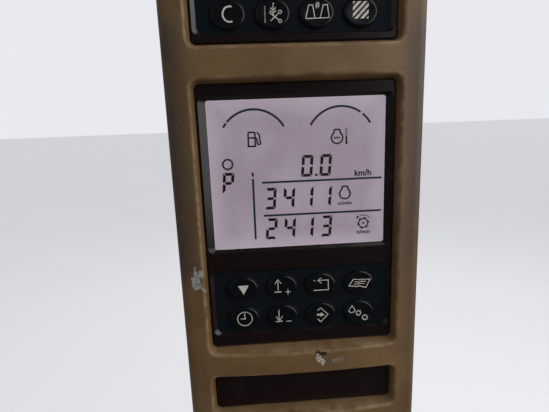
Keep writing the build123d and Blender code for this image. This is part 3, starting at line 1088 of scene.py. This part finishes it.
for rung in range(9):
    cut.line((-4.6, 3.5 - rung), (-4.0, 3.5 - rung), width=0.45)
cut.spot(0.6, 4.9, 0.45)
cut.line((0.4, 4.0), (0.4, -1.2), width=0.5)
for leaf in (-1, 1):
    cut.line((0.4, 1.6), (0.4 + leaf * 1.5, 3.0), width=0.5)
    cut.line((0.4, 0.1), (0.4 + leaf * 1.7, 1.6), width=0.5)
cut.line((-1.7, 0.5), (3.4, -3.4))
cut.line((-1.3, -3.9), (3.5, 0.2))
cut.round(4.2, 0.7, 0.85, 0.45)
cut.round(4.1, -4.1, 0.85, 0.45)

for foot in (-6.5, 1.7):
    lanes.line((foot, -3.0), (foot + 1.8, 3.85), (foot + 4.1, 3.85), (foot + 5.2, -2.8), width=0.5)
lanes.line((-6.5, -3.1), (6.9, -2.9), width=0.45)
for slant in (0, 1.1):
    lanes.line((-0.5 + slant, 2.1), (-0.1 + slant, 5.5), width=0.35)
    lanes.line((-1.1, 3.2 + slant), (1.5, 3.4 + slant), width=0.35)

# Bars that climb to the right, cut off by a square
half_bar = hatch_bar / 2 * 2 ** 0.5
farthest = 2 * hatch_half - 0.1
for row in range(6):
    offset = (row - 2.5) * hatch_pitch * 2 ** 0.5
    rails = []
    for edge in (max(offset - half_bar, -farthest), min(offset + half_bar, farthest)):
        low = max(-hatch_half, edge - hatch_half), max(-hatch_half, -edge - hatch_half)
        high = min(hatch_half, edge + hatch_half), min(hatch_half, hatch_half - edge)
        ends = [Vector((hatch.key.x + (x - 0.2) * mm, hatch.key.z + (z + 0.75) * mm))
                for x, z in (low, high)]
        rails.append([ends[0].lerp(ends[1], step / hatch_steps) for step in range(hatch_steps + 1)])
    hatch.band(list(zip(*rails)))

choose.line((0.3, 2.6), (0.3, -3.6), width=[6.8, 0])

for sign, tip, tail in ((raise_up, 5.3, -2.0), (lower, -2.6, 5.2)):
    barb = 2.9 if tip > tail else -2.9
    sign.line((-2.6, tip), (-2.6, tail))
    sign.line((-4.6, tip - barb), (-2.6, tip), (-0.4, tip - barb))
    sign.line((-4.9, -3.1), (-0.4, -3.1), width=0.65)
    sign.line((2.0, -3.3), (5.4, -3.3), width=0.45)
raise_up.line((3.7, -1.6), (3.7, -5.0), width=0.45)

back.spot(-4.2, 3.1, 0.45)
back.line((-2.0, 3.2), (4.8, 3.2), (4.9, -3.5), (-4.8, -3.5))
back.line((0.3, 4.8), (-2.0, 3.2), (0.4, 1.2))

book.line((-6.6, -1.9), (-3.7, 2.6), (0.0, 2.0), (0.8, 2.2), (7.2, 2.0), (4.4, -3.6), (0.2, -2.2),
          (-0.8, -2.6), closed=True)
book.line((-2.8, 0.6), (0.2, 0.3), (1.2, 0.9), (4.6, 0.5), width=0.5)
book.line((-3.6, -0.8), (-0.4, -0.9), (0.6, -0.4), (3.6, -1.0), width=0.4)

clock.round(0.2, 0.2, 4.75)
clock.line((0.2, 4.2), (0.2, 0.2), (-2.6, 0.2))
clock.spot(0.2, 0.2, 0.55)

enter.line((-2.4, 2.8), (-0.3, 4.5), (4.55, -0.25), (-0.3, -5.2), (-2.2, -3.2))
enter.line((-2.8, -0.2), (-0.2, -0.2), width=1.2)
enter.line((-0.4, -0.2), (2.1, -0.6), width=[3.4, 0])

feed_rate.line((-4.6, 4.7), (-3.1, 2.6), (-2.6, 1.3), (-3.3, 0.1), (-4.6, -0.3), (-5.9, 0.1),
               (-6.6, 1.3), (-6.1, 2.6), width=0.5, closed=True)
for x, z, radius in ((-0.2, -0.7, 1.35), (4.0, -4.1, 1.5)):
    feed_rate.round(x, z, radius, 0.5)
    for number in range(8):
        angle = radians(45 * number + 10)
        reach = [(x + r * cos(angle), z + r * sin(angle)) for r in (radius, radius + 0.7)]
        feed_rate.line(*reach, width=0.5)

names = "cancel cut lanes hatch choose raise back book clock lower enter feed".split()
for sign, name in zip(signs, names):
    piece = closed_piece(f"key_sign_{name}", sign.mesh, sign_ink)
    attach(piece, "root")


# Lamp strip: a smoked panel, glossy in front, that hides its lamps until
# they light.
smoked = (21, 11, 10)
smoked_dusty = (32, 25, 23)

panel, shader, place = new_finish("panel_smoked", {"Specular IOR Level": 0.35})
patches = noise(place, 12 * mm, 5, 0.6)
specks = noise(place, 0.8 * mm, 3, 0.6)
feed(shader, tint(rise(patches, 0.4, 0.8) * 0.35 + rise(specks, 0.64, 0.8) * 0.3, smoked, smoked_dusty),
     0.18 + patches * 0.14,
     bumps(noise(place, 5 * mm, 2), 0.01 * mm))
dress(panel, "strip_panel")


# Studio: a pale floor a little below the console, a large soft window to the
# right, weak ones to the left and behind, and a world that is dim in front.
floor_drop = 0.3
floor_half = 30
floor_pale = (222, 222, 224)
floor_base = (150, 150, 152)
floor_dim = (22, 22, 22)      # how a mirror shows the floor in front
world_pale = (232, 234, 238)
sky_light = 0.68
front_dim = 0.03
lamps = [                     # name, turn and height in degrees, distance, size, watts
    ("window_right", 59, 18, 0.9, (1.1, 1.3), 12.2),
    ("window_left", -60, 15, 1.2, (1.8, 1.8), 3.1),
    ("window_behind", 168, 38, 1.3, (1.0, 1.0), 7.0),
]

base, shader, place = new_finish("floor_pale", {"Roughness": 0.7, "Emission Strength": 0.6})
direct = place.add("ShaderNodeLightPath", output="Is Camera Ray")
mirrored = place.add("ShaderNodeLightPath", output="Is Glossy Ray") * rise(split(place)[1], 0, -0.3)
pale = tint(noise(place, 0.4, 3) * 0.1, floor_base, floor_pale)
feed(shader, tint(mirrored, pale, floor_dim), glow=tint(direct, (0, 0, 0), floor_pale))
level = cad_low.z - floor_drop
mesh = bpy.data.meshes.new("floor")
floor_corners = [(x * floor_half, y * floor_half, level) for x, y in ((-1, -1), (1, -1), (1, 1), (-1, 1))]
mesh.from_pydata(floor_corners, [], [(0, 1, 2, 3)])
mesh.materials.append(base)
add_object("floor", mesh)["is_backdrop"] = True

for name, turn, height, distance, size, watts in lamps:
    lamp = bpy.data.lights.new(name, "AREA")
    lamp.shape = "RECTANGLE"
    lamp.size, lamp.size_y = size
    lamp.energy = watts
    turned = Matrix.Rotation(radians(turn), 4, "Z") @ Matrix.Rotation(radians(90 - height), 4, "X")
    add_object(name, lamp).matrix_world = turned @ Matrix.Translation((0, 0, distance))

world = bpy.data.worlds.new("studio")
world.use_nodes = True
bpy.context.scene.world = world
sky = Wire(world.node_tree)
direct, glossy, through = [sky.add("ShaderNodeLightPath", output=f"Is {kind} Ray")
                           for kind in ("Camera", "Glossy", "Transmission")]
x, y = split(sky.add("ShaderNodeTexCoord", output="Generated"))[:2]
behind = rise(abs(x) * 0.46 + x * 0.28 + y * 0.5, 0.05, 0.75)     # and to the sides, most at the right
mirrored = behind * (1 - front_dim) + front_dim
plain = most(direct, through)
strength = most(plain, glossy * mirrored) + (1 - most(plain, glossy)) * sky_light
background = world.node_tree.nodes["Background"]
background.inputs["Color"].default_value = seen(world_pale)
world.node_tree.links.new(strength.socket, background.inputs["Strength"])

bpy.context.scene.view_settings.view_transform = "Standard"
low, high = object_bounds()
